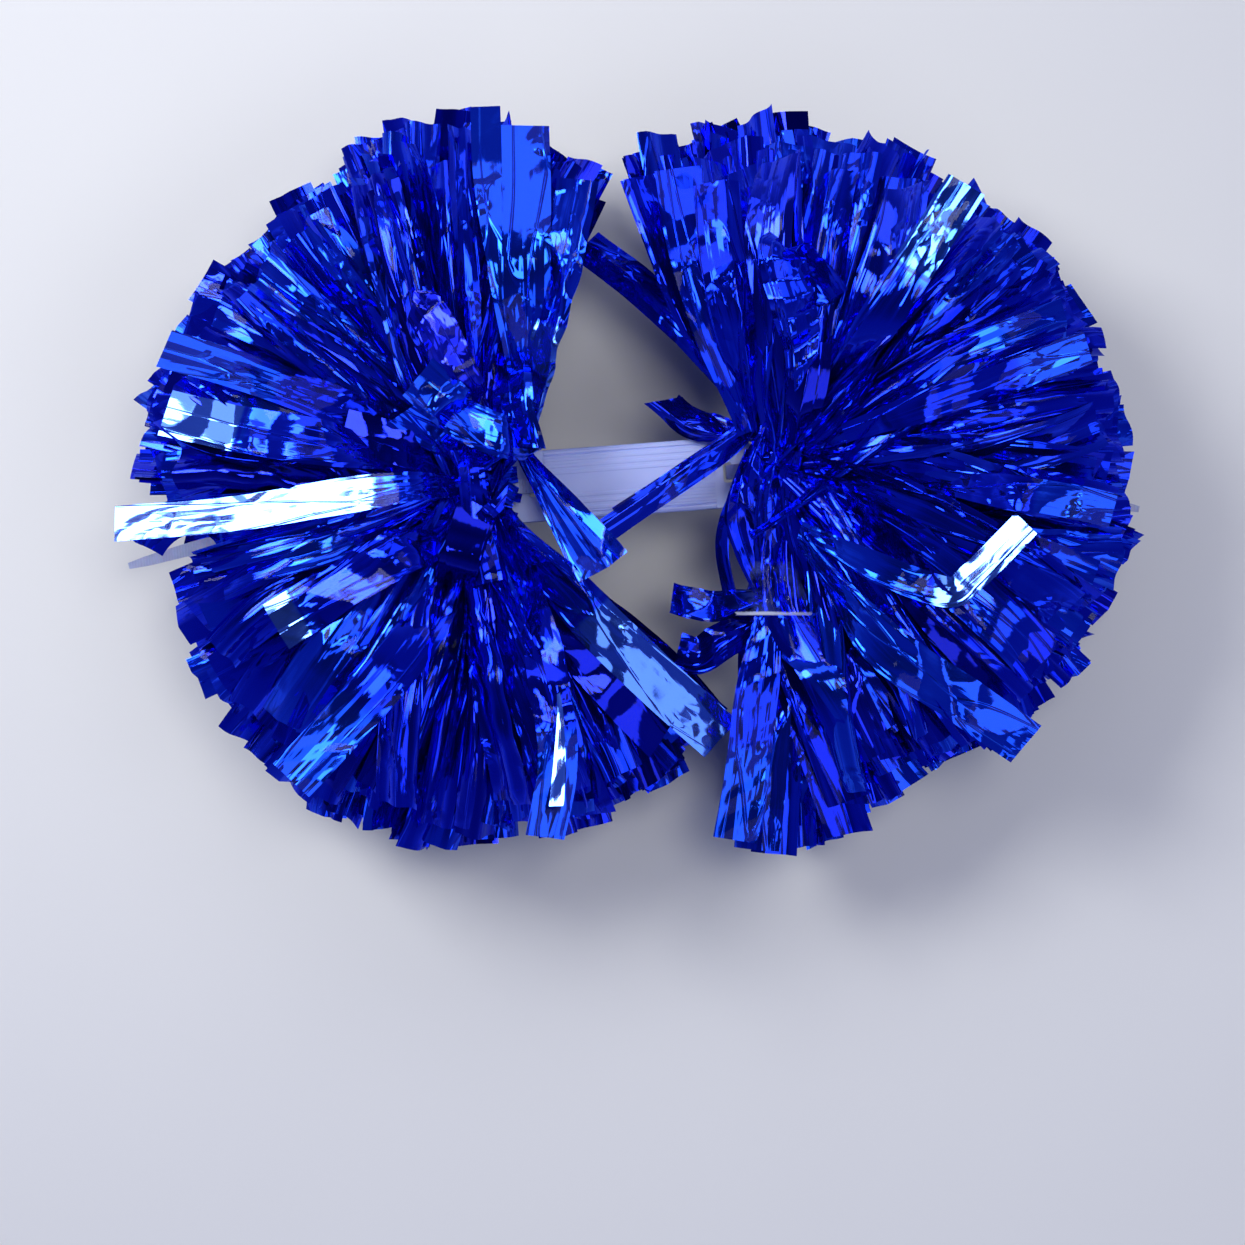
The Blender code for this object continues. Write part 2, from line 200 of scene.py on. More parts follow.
# The tape's haze, and at the other end the white of a painted highlight along its rolled edge
TAPE_COLORS = ((0.0, (0.06, 0.09, 0.34)), (1.0, (0.90, 0.93, 1.00)))
RIM_OPACITY = 0.35
BUBBLE_RIMS = ((0.16, (0.0, 0.0, 0.0)), (0.21, (1.0, 1.0, 1.0)), (0.26, (0.0, 0.0, 0.0)))
FLOOR_COLORS = ((0.3, (0.81, 0.80, 0.75)), (0.7, (0.84, 0.83, 0.78)))
WORLD_COLORS = (
    (0.00, (0.560, 0.610, 0.82)),
    (0.14, (0.230, 0.270, 0.50)),
    (0.40, (0.090, 0.120, 0.32)),
    (0.72, (0.042, 0.064, 0.27)),
    (0.90, (0.015, 0.025, 0.13)),
    (1.00, (0.006, 0.012, 0.06)),
)

# Lights, in metres: place, size, watts and colour
AIM = (0.0, 0.0, 0.04)
LIGHTS = {
    "key": ((-0.60, 0.45, 0.85), (0.40, 0.40), 7.2, (0.95, 0.97, 1.0)),
    "fill": ((0.45, -0.40, 0.95), (0.85, 0.40), 1.8, (0.93, 0.96, 1.0)),
    "back": ((-0.10, 0.95, 0.95), (1.25, 0.45), 3.0, (0.95, 0.97, 1.0)),
    "overhead": ((0.22, 0.10, 1.35), (0.42, 0.42), 4.2, (1.0, 1.0, 1.0)),
}
FLOOR_SIZE, FLOOR_HEIGHT = 30.0, -0.0002  # metres

# Camera: straight above, its frame turned a little against the handle
CAMERA_OVER = (-6.1, -48.0)
CAMERA_DISTANCE = 800.0
FIELD = 421.0  # width of the view at the handle's height
CAMERA_ROLL = -4.2
SENSOR_WIDTH = 36.0
CAMERA_SEES = (0.01, 20.0)  # metres

# What a strip that lies on top shows, besides its path
CRUMPLED = dict(panels=2, fold=(40, 12), roll=(6, 4), gather=0.7, crumple=5.0)
CREASED = dict(panels=2, fold=(62, 16), roll=(8, 4), gather=0.5, crumple=1.3)
FLAT = dict(panels=1, fold=(8, 3), roll=(0, 0), gather=0.6, crumple=0.5)

# Listed strips on top of a bunch: their paths, from root to tip, and what they show
TOP_STRIPS = {
    "left_upper_streamers_1": [
        ([(-34, 28, 66), (-36, 66, 78), (-39, 99, 72), (-39, 126, 60)], dict(FLAT, width=10.0, tint=0.80)),
        ([(-32, 28, 64), (-29, 66, 74), (-27, 92, 70), (-26, 117, 62)], dict(FLAT, tint=0.78)),
        # Part of this strip takes the ramp's palest end: painted highlight, white and light blue where light
        # catches it
        ([(-33, 21, 62), (-25, 43, 72), (-17, 68, 74), (-10, 96, 73)],
         dict(CRUMPLED, tint=(0.985, 0.70, 0.46), width=15.0, crumple=4.0, face=(-0.29, 0.11, 0.95))),
    ],
    "left_upper_streamers_2": [
        ([(-45, 20, 68), (-51, 32, 80), (-58, 49, 78), (-66, 63, 74)],
         dict(CRUMPLED, tint=0.87, width=13.0, crumple=1.8, fold=(40, 8), slant=5.0,
              face=(-0.26, 0.15, 0.95))),
    ],
    "left_upper_streamers_3": [
        ([(-68, 16, 70), (-92, 28, 77), (-121, 41, 77), (-147, 51, 75)],
         dict(FLAT, width=14.0, tint=(0.30, 0.80, 0.55), face=(0.11, 0.33, 0.94))),
        # A near-black strip: painted shade where the film's inside lies in shadow
        ([(-53, 6, 62), (-68, 11, 70), (-79, 15, 73), (-91, 19, 74)],
         dict(CRUMPLED, tint=0.04, crumple=1.5, face=(-0.05, -0.12, 0.99))),
        ([(-47, 8, 64), (-57, 16, 72), (-63, 20, 74), (-70, 25, 77)],
         dict(CRUMPLED, tint=0.70, crumple=2.6, gather=0.9, slant=3.0, face=(0.18, -0.22, 0.96))),
        ([(-45, 15, 66), (-55, 24, 72), (-60, 29, 74), (-65, 34, 76)],
         dict(CRUMPLED, tint=0.80, crumple=2.6, gather=0.9, face=(0.18, -0.22, 0.96))),
    ],
    "left_upper_streamers_4": [
        # Part of this strip takes the ramp's palest end: painted highlight, white and light blue where light
        # catches it
        ([(-68, 10, 72), (-94, 15, 79), (-122, 22, 74), (-148, 30, 68)],
         dict(CRUMPLED, tint=(0.45, 1.0, 0.70), crumple=2.2, fold=(30, 8), face=(-0.18, 0.2, 0.96))),
        # Part of this strip takes the ramp's palest end: painted highlight, white and light blue where light
        # catches it
        ([(-56, 0, 72), (-68, 0, 82), (-88, -1, 80), (-129, -4, 72), (-168, -4, 65)],
         dict(FLAT, width=12.0, tint=(0.62, 1.0, 0.29), crumple=0.5, face=(-0.18, 0.21, 0.96))),
    ],
    "left_upper_streamers_5": [
        # A near-black strip: painted shade where the film's inside lies in shadow
        ([(-62, -36, 70), (-57, -26, 73), (-53, -16, 73), (-50, -8, 70)],
         dict(FLAT, tint=0.02, width=13.0, face=(-0.05, -0.12, 0.99))),
        # Part of this strip takes the ramp's palest end: painted highlight, white and light blue where light
        # catches it
        ([(-56, -12, 66), (-74, -20, 79), (-96, -30, 80), (-117, -41, 79)],
         dict(CRUMPLED, tint=(0.30, 1.0, 0.86), width=17.0, crumple=2.6, fold=(34, 10),
              face=(-0.19, 0.25, 0.95))),
    ],
    "left_upper_streamers_6": [
        ([(-54, -24, 70), (-78, -55, 80), (-99, -76, 84), (-114, -90, 87)],
         dict(FLAT, tint=(0.45, 0.80, 0.66), crumple=1.2, fold=(50, 6), face=(0.32, -0.15, 0.94))),
    ],
    "left_upper_streamers_7": [
        ([(-36, -26, 70), (-31, -65, 80), (-30, -91, 78), (-36, -115, 76)],
         dict(FLAT, tint=(0.20, 0.80, 0.62), width=13.0, crumple=1.2, fold=(50, 6),
              face=(0.26, -0.12, 0.96))),
    ],
    "left_upper_streamers_8": [
        # Part of this strip takes the ramp's palest end: painted highlight, white and light blue where light
        # catches it
        ([(-30, -50, 74), (-28, -72, 79), (-29, -88, 84), (-31, -104, 89)],
         dict(FLAT, tint=(0.50, 1.0, 0.35), width=5.0, gather=0.1, spread=(0.2, 1.0),
              face=(-0.26, 0.29, 0.92))),
    ],
    "left_middle_streamers_9": [
        # Part of this strip takes the ramp's palest end: painted highlight, white and light blue where light
        # catches it
        ([(-44, -10, 60), (-37, -20, 64), (-23, -36, 64), (-13, -49, 62), (5, -69, 55), (24, -89, 47)],
         dict(CRUMPLED, tint=(0.60, 0.99, 0.42), width=17.0, crumple=2.4, face=(0.22, -0.16, 0.96))),
    ],
    "right_middle_streamers_1": [
        ([(44, -42, 58), (27, -45, 50), (17, -43, 48), (11, -41, 50)],
         dict(CRUMPLED, width=11.0, tint=0.62, rests=False)),
        ([(44, -48, 54), (28, -56, 47), (19, -61, 44), (12, -59, 43)],
         dict(CRUMPLED, width=13.0, tint=0.30, rests=False)),
        ([(43, -46, 60), (36, -77, 64), (31, -103, 62), (26, -123, 60)],
         dict(FLAT, width=15.0, tint=(0.50, 0.80, 0.60), crumple=1.0, face=(0.19, -0.12, 0.97))),
    ],
    "right_upper_streamers_2": [
        ([(54, -25, 72), (76, -60, 82), (102, -81, 76), (122, -97, 71)],
         dict(CREASED, tint=0.80, fold=(50, 6), face=(0.11, -0.15, 0.98))),
    ],
    "right_upper_streamers_3": [
        # Part of this strip takes the ramp's palest end: painted highlight, white and light blue where light
        # catches it
        ([(54, -22, 72), (76, -36, 85), (90, -43, 87), (100, -46, 87),
          (106, -42, 88.5), (112, -37, 90), (124, -26, 93)],
         dict(FLAT, width=10.0, tint=(0.75, 1.0, 0.55), face=(-0.38, 0.22, 0.89))),
        ([(100, -11, 82), (120, -16, 81), (138, -20, 79), (152, -24, 77)],
         dict(FLAT, width=11.0, tint=(0.35, 0.80, 0.55), crumple=1.0, face=(0.06, -0.22, 0.97))),
    ],
    "right_upper_streamers_4": [
        ([(70, 8, 78), (95, 14, 80), (122, 21, 80), (149, 29, 80)],
         dict(FLAT, width=11.0, tint=(0.40, 0.80, 0.72), crumple=1.0, face=(0.06, -0.27, 0.96))),
    ],
    "right_upper_streamers_5": [
        # Part of this strip takes the ramp's palest end: painted highlight, white and light blue where light
        # catches it
        ([(66, 22, 72), (82, 42, 82), (100, 66, 86), (112, 82, 89)],
         dict(CRUMPLED, tint=(0.50, 0.97, 0.60), width=14.0, crumple=2.4, face=(-0.42, 0.10, 0.90))),
    ],
    "right_upper_streamers_6": [
        # A near-black strip: painted shade where the film's inside lies in shadow
        ([(54, 6, 72), (57, 16, 77), (60, 27, 79), (62, 38, 79)],
         dict(CREASED, tint=0.02, width=13.0, face=(-0.05, -0.12, 0.99))),
        ([(57, 20, 76), (57, 41, 90), (53, 67, 92), (60, 62, 88), (68, 51, 84)], dict(CRUMPLED, tint=0.50)),
    ],
    "right_upper_streamers_7": [
        ([(39, 13, 62), (26, 48, 76), (17, 78, 76), (11, 99, 70)], dict(CREASED, tint=0.25)),
        ([(41, 12, 62), (31, 47, 80), (25, 74, 80), (23, 99, 74)], dict(FLAT, tint=0.60, crumple=1.0)),
        ([(42, 12, 62), (37, 47, 82), (35, 70, 82), (35, 93, 76)], dict(CREASED, tint=0.40, fold=(50, 20))),
    ],
}
CROSSING_STRIPS = {
    "left_crossing_streamer": [
        ([(-38, 20, 58), (-34, 9, 60), (-27, -3, 63), (-20, -15, 67), (-11, -30, 74)],
         dict(panels=3, fold=(60, 14), width=19.0, gather=0.5, spread=(0.25, 1.0), crumple=0.9, tint=0.74,
              rests=False, face=(-0.04, 0.38, 0.92))),
        ([(-52, 18, 60), (-51, 6, 62), (-51, -6, 62), (-50, -18, 60), (-48, -32, 58)],
         dict(CRUMPLED, width=9.0, tint=0.30)),
        ([(-36, 42, 62), (-36, 32, 66), (-36, 22, 69), (-34, 11, 70)],
         dict(CRUMPLED, tint=0.82, width=15.0, crumple=2.6, gather=0.6, slant=3.0,
              face=(-0.27, 0.17, 0.95))),
        ([(-29, 12, 70), (-37, 13, 71), (-45, 16, 72), (-55, 22, 70)],
         dict(CRUMPLED, width=14.0, tint=0.74, crumple=3.0, gather=0.3, spread=(0.0, 0.30))),
        ([(-53, -17, 58), (-48, -11, 62), (-44, -8, 63), (-40, -4, 63)],
         dict(CREASED, width=5.0, tint=0.20, slant=4.0)),
    ],
    "right_crossing_streamer": [
        ([(52, 20, 64), (41, 14, 61), (35, 9, 60), (13, -4, 60), (-9, -17, 62)],
         dict(panels=2, fold=(44, 20), width=9.0, gather=0.8, crumple=1.2, tint=(0.50, 0.84, 0.60),
              rests=False, face=(0.09, 0.03, 0.99))),
        ([(52, 21, 60), (41, 15, 58), (35, 10, 57), (13, -3, 57), (-5, -13, 58)],
         dict(panels=2, fold=(40, 16), width=8.0, gather=0.8, tint=0.30, rests=False)),
    ],
    "right_stray_streamer": [
        ([(44, 12, 56), (27, 43, 52), (8, 65, 47), (-9, 81, 42)],
         dict(CREASED, width=13.0, tint=0.50, rests=False)),
        ([(44, 10, 56), (30, 15, 55), (21, 18, 54), (13, 25, 56)],
         dict(CRUMPLED, width=14.0, tint=0.85, slant=5.0, fold=(70, 40), rests=False)),
        ([(48, 16, 66), (43, 4, 63), (40, -10, 61), (43, -22, 58), (48, -36, 54)],
         dict(CRUMPLED, tint=0.40, width=9.0, rests=False)),
        ([(40, 6, 61), (36, -4, 61), (34, -16, 59), (37, -28, 56), (42, -40, 53)],
         dict(CREASED, tint=0.25, width=8.0, crumple=3.0, rests=False)),
        ([(52, 14, 68), (47, -4, 65), (44, -20, 61), (44, -36, 56)],
         dict(CREASED, tint=0.60, width=9.0, crumple=3.0, rests=False)),
        ([(57, 10, 68), (52, -6, 66), (52, -22, 62), (55, -38, 58)],
         dict(CRUMPLED, tint=0.15, width=9.0, rests=False)),
        ([(38, 2, 58), (32, -12, 58), (29, -26, 54), (31, -44, 50)],
         dict(CREASED, tint=0.50, width=5.0, crumple=2.0, rests=False)),
    ],
}


Ends = namedtuple("Ends", "root_z tip_z reach root_rise tip_rise behind")


def smoothstep(low, high, x):
    t = np.clip((np.asarray(x, float) - low) / (high - low), 0.0, 1.0)
    return t * t * (3 - 2 * t)


def triangle_wave(x):
    """Between -1 and 1 with period 1: straight facets between sharp folds."""
    return 4 * np.abs(x - np.floor(x) - 0.5) - 1


def unit(v):
    return v / np.maximum(np.linalg.norm(v, axis=-1, keepdims=True), 1e-9)


def outward(azimuth, elevation=0.0):
    a, e = math.radians(azimuth), math.radians(elevation)
    return np.array([math.cos(a) * math.cos(e), math.sin(a) * math.cos(e), math.sin(e)])


def level_across(direction):
    """The level direction a quarter turn to the left of this one."""
    return np.array([-direction[1], direction[0], 0.0])


def climb(start_and_gain, share):
    start, gain = start_and_gain
    return start + gain * share


def distances(path):
    """How far along the path each of its points lies."""
    return np.concatenate([[0], np.cumsum(np.linalg.norm(np.diff(path, axis=0), axis=1))])


def centred(steps):
    """The running sum of each row's steps, moved so that it averages 0."""
    sums = np.concatenate([np.zeros((len(steps), 1)), np.cumsum(steps, axis=1)], axis=1)
    return sums - sums.mean(axis=1, keepdims=True)


def bezier(p0, p1, p2, p3, count):
    t = np.linspace(0, 1, count)[:, None]
    return (1 - t) ** 3 * p0 + 3 * (1 - t) ** 2 * t * p1 + 3 * (1 - t) * t**2 * p2 + t**3 * p3


def through(points, count, steps=24):
    """A smooth path through the points, evenly spaced along its length: a Catmull-Rom spline."""
    points = np.array(points, float)
    padded = np.vstack([2 * points[0] - points[1], points, 2 * points[-1] - points[-2]])
    t = np.linspace(0, 1, steps, endpoint=False)[:, None]
    fine = []
    for a, b, c, d in zip(padded, padded[1:], padded[2:], padded[3:]):
        square, cube = 2 * a - 5 * b + 4 * c - d, 3 * b - a - 3 * c + d
        fine.append(0.5 * (2 * b + (c - a) * t + square * t**2 + cube * t**3))
    fine = np.vstack([*fine, points[-1:]])
    run = distances(fine)
    at = np.linspace(0, run[-1], count)
    return np.stack([np.interp(at, run, fine[:, k]) for k in range(3)], axis=1)


class Heights:
    """The top of the film over each square of a grid, so that a listed strip can rest on it."""

    def __init__(self):
        self.top = np.zeros(MAP_CELLS)

    def cells(self, points):
        where = ((points[..., :2] - MAP_CORNER) / CELL).astype(int)
        return tuple(np.clip(where[..., k], 0, MAP_CELLS[k] - 1) for k in (0, 1))

    def add(self, points):
        np.maximum.at(self.top, self.cells(points), points[..., 2])

    def lifted(self, points, width):
        """The points of a strip's path, all but the first raised or lowered until most of the strip just
        clears the film below it. Its slopes past the first point stay as they are."""
        path = through(points, REST_POINTS)[ROOT_POINTS:]
        aside = level_across(unit(path[-1] - path[0])) * REST_ASIDE * width
        below = np.max([self.top[self.cells(path + k * aside)] for k in (-1, 0, 1)], axis=0)
        needed = np.percentile(below - path[:, 2], CLEAR_PERCENT) + REST_GAP
        lift = min(max(needed, -MOST_DROP), MOST_LIFT, HIGHEST - path[:, 2].max())
        return [points[0], *((x, y, z + lift) for x, y, z in points[1:])]


class Film:
    """Collects strips of film, and makes one mesh of them."""

    def __init__(self, rng):
        self.rng = rng
        self.points, self.uvs, self.tints, self.lengths, self.areas = [], [], [], [], []

    def creased(self, panels, rows, cols):
        """Tilts of the quads across, as shares of the fold angle, and their widths, as shares of an even
        one: flat panels that tilt to alternate sides, with a narrow rounded edge between them."""
        places = np.arange(FOLD_MARGIN, cols - FOLD_MARGIN)
        cuts = np.sort(self.rng.choice(places, size=panels - 1, replace=False))
        panel = np.searchsorted(cuts, np.arange(cols), side="right")
        share = self.rng.uniform(*PANEL_TILTS, panels)
        tilts = np.where(panel % 2 == 0, 1.0, -1.0) * share[panel]
        tilts[cuts] = (tilts[cuts - 1] + tilts[cuts + 1]) / 2
        widths = np.ones(cols)
        widths[cuts] = FOLD_SHARE
        return np.broadcast_to(tilts, (rows, cols)), widths * cols / widths.sum()

    def pleated(self, rows, cols):
        """The same for soft pleats, which wander a little across the strip from its root to its tip."""
        x = (np.arange(cols) + 0.5)[None, :] / cols
        t = np.linspace(0, 1, rows)[:, None]
        pleats = self.rng.uniform(*PLEAT_WAVES) * x
        phase = self.rng.uniform(0, 1)
        return np.sin(2 * math.pi * (pleats + phase + self.rng.uniform(*PLEAT_DRIFT) * t)), np.ones(cols)

    def axes(self, path, side, roll, face):
        """At each point of the path: the directions ahead, across the strip and up from it."""
        rng = self.rng
        t = np.linspace(0, 1, len(path))
        ahead = unit(np.gradient(path, axis=0))
        across = unit(side - (ahead @ side)[:, None] * ahead)
        up = np.cross(ahead, across)
        turn = np.radians(roll[0] + (roll[1] - roll[0]) * t)
        if face is not None:
            target = unit(np.array(face, float))
            facing = np.arctan2(-(across @ target), up @ target)
            turn = turn + (facing - turn) * smoothstep(*FACING_SPAN, t)
        wander = np.radians(rng.uniform(*WANDER))
        turn = turn + wander * np.sin(t * rng.uniform(*WANDER_RATE) + rng.uniform(*PHASES))
        cos, sin = np.cos(turn)[:, None], np.sin(turn)[:, None]
        return ahead, cos * across + sin * up, cos * up - sin * across

    def crumples(self, run, wide, t):
        """Height of the crinkles: folds at several slants, strongest along the gathered half."""
        rng = self.rng
        total = np.zeros(np.broadcast_shapes(run.shape, wide.shape))
        for length in CRINKLE_LENGTHS:
            slant = rng.uniform(-1.0, 1.0)
            bend = CRINKLE_BEND * np.sin(run / rng.uniform(*BEND_ALONG) + wide / rng.uniform(*BEND_ACROSS))
            along = run * math.cos(slant) + wide * math.sin(slant)
            wave = along / (length * rng.uniform(*CRINKLE_SIZES)) + rng.uniform(0, 1)
            swing = np.sin(run / rng.uniform(*CALM_ALONG) + rng.uniform(*PHASES)) ** 2
            fade = CRINKLE_CALM + (1 - CRINKLE_CALM) * swing
            total += triangle_wave(wave + bend) * fade * length * rng.uniform(*CRINKLE_HEIGHTS)
        return total * (1.0 - TIP_CALM * smoothstep(*TIP_SPAN, t)) * smoothstep(*ROOT_SPAN, t)

    def shades(self, tint, t):
        """The place on the colour ramp along the strip: one, or a pair that meet at a border. Its darkest
        places are painted shade and its palest painted highlight.
        """
        if tint is None:
            tint = self.rng.uniform(*RANDOM_TONES_AND_PAINTED_SHADE)
        inner, outer, border = tint if isinstance(tint, tuple) else (tint, tint, 0.5)
        return inner + (outer - inner) * smoothstep(border - TINT_BLEND, border + TINT_BLEND, t)

    def strip(self, path, side, width=FILM_WIDTH, cols=ACROSS, panels=2, fold=(75, 35), roll=(0, 0),
              gather=0.45, spread=(0.0, 0.42), crumple=1.0, curl=0.0, slant=0.0, tint=None, face=None,
              floor=True):
        """A strip along path. panels is 0 for soft pleats. fold is their tilt at the root and the tip, and
        roll the strip's turn about its length. gather is its share of the full width at the root, and spread
        where it widens. face is a direction that its outer half turns to instead. Its place on the film's
        colour ramp may be a pair for its inner and outer parts and the place, between 0 and 1, where they
        meet. The ramp's darkest end is painted shade and its palest painted highlight."""
        rows = len(path)
        t = np.linspace(0, 1, rows)
        run = distances(path)
        ahead, across, up = self.axes(path, side, roll, face)
        tilt = np.radians(fold[0] + (fold[1] - fold[0]) * smoothstep(*UNFOLDING_SPAN, t))
        pattern, shares = self.creased(panels, rows, cols) if panels else self.pleated(rows, cols)
        angle = np.clip(tilt[:, None] * pattern, -STEEPEST, STEEPEST)
        quad = width / cols * shares[None, :] * (gather + (1 - gather) * smoothstep(*spread, t))[:, None]
        u, v = centred(quad * np.cos(angle)), centred(quad * np.sin(angle))
        flat = 2 * np.concatenate([[0], np.cumsum(shares)])[None, :] / cols - 1
        v = v + curl * (flat**2 - CURL_LEVEL) * smoothstep(*CURLING_SPAN, t)[:, None]
        v = v + crumple * self.crumples(run[:, None], flat * width / 2, t[:, None])
        points = path[:, None, :] + u[..., None] * across[:, None, :] + v[..., None] * up[:, None, :]
        points += (slant * flat * smoothstep(*SLANTING_SPAN, t)[:, None])[..., None] * ahead[:, None, :]
        if floor:
            points[..., 2] = np.maximum(points[..., 2], LOWEST)
        at = self.rng.uniform(0, FILM_SHEET, 2)
        uv = np.broadcast_arrays((flat + 1) * width / 2 + at[0], run[:, None] + at[1])
        self.points.append(points)
        self.uvs.append(np.stack(uv, axis=-1))
        self.tints.append(np.repeat(self.shades(tint, t)[:, None], cols + 1, axis=1))
        self.lengths.append(run[-1])
        self.areas.append(width * run[-1])

    def quads(self):
        """The corners of every strip's quads, as numbers of points."""
        quads, start = [], 0
        for strip in self.points:
            rows, cols = strip.shape[:2]
            i, j = np.meshgrid(np.arange(rows - 1), np.arange(cols - 1), indexing="ij")
            corner = (start + i * cols + j).reshape(-1)
            quads.append(np.stack([corner, corner + cols, corner + cols + 1, corner + 1], axis=1))
            start += rows * cols
        return np.concatenate(quads)

    def mesh(self, name, slot="film_blue"):
        """One object of all the strips, shaded smooth between its creases."""
        faces = self.quads()
        points = np.concatenate([p.reshape(-1, 3) for p in self.points]) * MM
        uvs = np.concatenate([p.reshape(-1, 2) for p in self.uvs]) * MM
        tints = np.concatenate([p.reshape(-1) for p in self.tints])
        mesh = bpy.data.meshes.new(name)
        mesh.vertices.add(len(points))
        mesh.vertices.foreach_set("co", points.astype(np.float32).reshape(-1))
        mesh.loops.add(faces.size)
        mesh.loops.foreach_set("vertex_index", faces.astype(np.int32).reshape(-1))
        mesh.polygons.add(len(faces))
        mesh.polygons.foreach_set("loop_start", np.arange(0, faces.size, 4, dtype=np.int32))
        mesh.polygons.foreach_set("loop_total", np.full(len(faces), 4, dtype=np.int32))
        mesh.update(calc_edges=True)
        layer = mesh.uv_layers.new(name="film")
        layer.data.foreach_set("uv", uvs[faces.reshape(-1)].astype(np.float32).reshape(-1))
        # The place on the colour ramp at each point: the film's own tone, with painted shade and painted
        # highlight at the ramp's ends, and on the tape the painted highlight along its edge
        tint = mesh.attributes.new("tint", "FLOAT", "POINT")
        tint.data.foreach_set("value", tints.astype(np.float32))
        mesh.polygons.foreach_set("use_smooth", np.ones(len(faces), dtype=bool))
        mesh.validate()
        mesh.set_sharp_from_angle(angle=math.radians(CREASE_ANGLE))
        obj = bpy.data.objects.new(name, mesh)
        bpy.context.scene.collection.objects.link(obj)
        mesh.materials.append(MATERIALS[slot])
        return obj

    def declare(self, obj):
        """Does nothing with the object."""


class Nodes:
    """A tree of shader nodes. An input takes a value, or the output of another node."""

    def __init__(self, tree):
        self.tree = tree

    def put(self, socket, value):
        if isinstance(value, bpy.types.NodeSocket):
            self.tree.links.new(value, socket)
        else:
            socket.default_value = value

    def set(self, node, **settings):
        """Sets a node's inputs, whose names have _ for a space here, and its properties."""
        for key, value in settings.items():
            name = key.replace("_", " ")
            if name in node.inputs:
                self.put(node.inputs[name], value)
            else:
                setattr(node, key, value)
        return node

    def add(self, kind, output, **settings):
        """The named output of a new node."""
        return self.set(self.tree.nodes.new(f"ShaderNode{kind}"), **settings).outputs[output]

    def noise(self, vector, **settings):
        return self.add("TexNoise", "Fac", Vector=vector, **settings)

    def cells(self, vector, **settings):
        return self.add("TexVoronoi", "Distance", Vector=vector, voronoi_dimensions="2D", **settings)

    def between(self, value, low, high, **settings):
        """The value, from 0 to 1 unless From_Min and From_Max say otherwise, put between low and high."""
        return self.add("MapRange", "Result", Value=value, To_Min=low, To_Max=high, **settings)

    def math(self, operation, *values, kind="Math"):
        node = self.set(self.tree.nodes.new(f"ShaderNode{kind}"), operation=operation)
        for socket, value in zip(node.inputs, values):
            self.put(socket, value)
        return node.outputs[0]

    def ramp(self, place, stops):
        """The colour at a place on a ramp, whose stops are a position and a colour."""
        node = self.set(self.tree.nodes.new("ShaderNodeValToRGB"), Fac=place)
        elements = node.color_ramp.elements
        while len(elements) > 1:
            elements.remove(elements[-1])
        for index, (position, color) in enumerate(stops):
            element = elements[0] if index == 0 else elements.new(position)
            element.position = position
            element.color = (*color, 1.0)
        return node.outputs["Color"]


def new_material(name):
    """A new material, its nodes and its Principled shader."""
    material = bpy.data.materials.new(name)
    material.use_nodes = True
    nodes = Nodes(material.node_tree)
    return material, nodes, nodes.tree.nodes["Principled BSDF"]


def bent(nodes, uv, scale, turn):
    """Coordinates along the film, scaled, turned (in radians) and bent by a noise."""
    at = nodes.add("Mapping", "Vector", Vector=uv, Scale=scale, Rotation=(0.0, 0.0, turn))
    bend = nodes.add("TexNoise", "Color", Vector=at, noise_dimensions="2D", Scale=0.6, Detail=1.0)
    return nodes.math("MULTIPLY_ADD", bend, (1.1, 1.1, 0.0), at, kind="VectorMath")


def waves(nodes, uv, scale, depth):
    """A height of soft waves."""
    at = nodes.add("Mapping", "Vector", Vector=uv, Scale=scale)
    soft = nodes.noise(at, noise_dimensions="2D", Scale=1.0, Detail=1.0, Roughness=0.4)
    return nodes.math("MULTIPLY", soft, depth)


def with_facets(nodes, uv, height, scale, turn, depth, mask=None):
    """The height with a field of four-sided pyramids on it."""
    at = bent(nodes, uv, scale, turn)
    rise = nodes.cells(at, feature="F1", distance="MANHATTAN", Scale=1.0)
    if mask:
        rise = nodes.math("MULTIPLY", rise, mask)
    return nodes.math("MULTIPLY_ADD", rise, depth, height)


def with_ridges(nodes, uv, height, scale, turn, depth):
    """The height with thin pinched creases on it: the borders of long cells."""
    at = bent(nodes, uv, scale, turn)
    aside = nodes.cells(at, feature="DISTANCE_TO_EDGE", Scale=1.0)
    ridge = nodes.between(aside, depth, 0.0, interpolation_type="SMOOTHSTEP", From_Min=0.0, From_Max=0.045)
    return nodes.math("ADD", ridge, height)


def film_height(nodes, uv, patches):
    """Long creases, crinkled patches and pinched ridges. A scale is how many there are in a metre across the
    film and along it."""
    mask = nodes.between(patches, 0.04, 1.0, interpolation_type="SMOOTHSTEP", From_Min=0.56, From_Max=0.70)
    height = waves(nodes, uv, scale=(62.0, 8.0, 1.0), depth=2.1)
    height = with_facets(nodes, uv, height, scale=(150.0, 11.0, 1.0), turn=0.03, depth=0.9)
    height = with_facets(nodes, uv, height, scale=(330.0, 22.0, 1.0), turn=-0.05, depth=0.16)
    height = with_facets(nodes, uv, height, scale=(190.0, 120.0, 1.0), turn=0.6, depth=1.3, mask=mask)
    return with_ridges(nodes, uv, height, scale=(85.0, 13.0, 1.0), turn=0.06, depth=0.40)


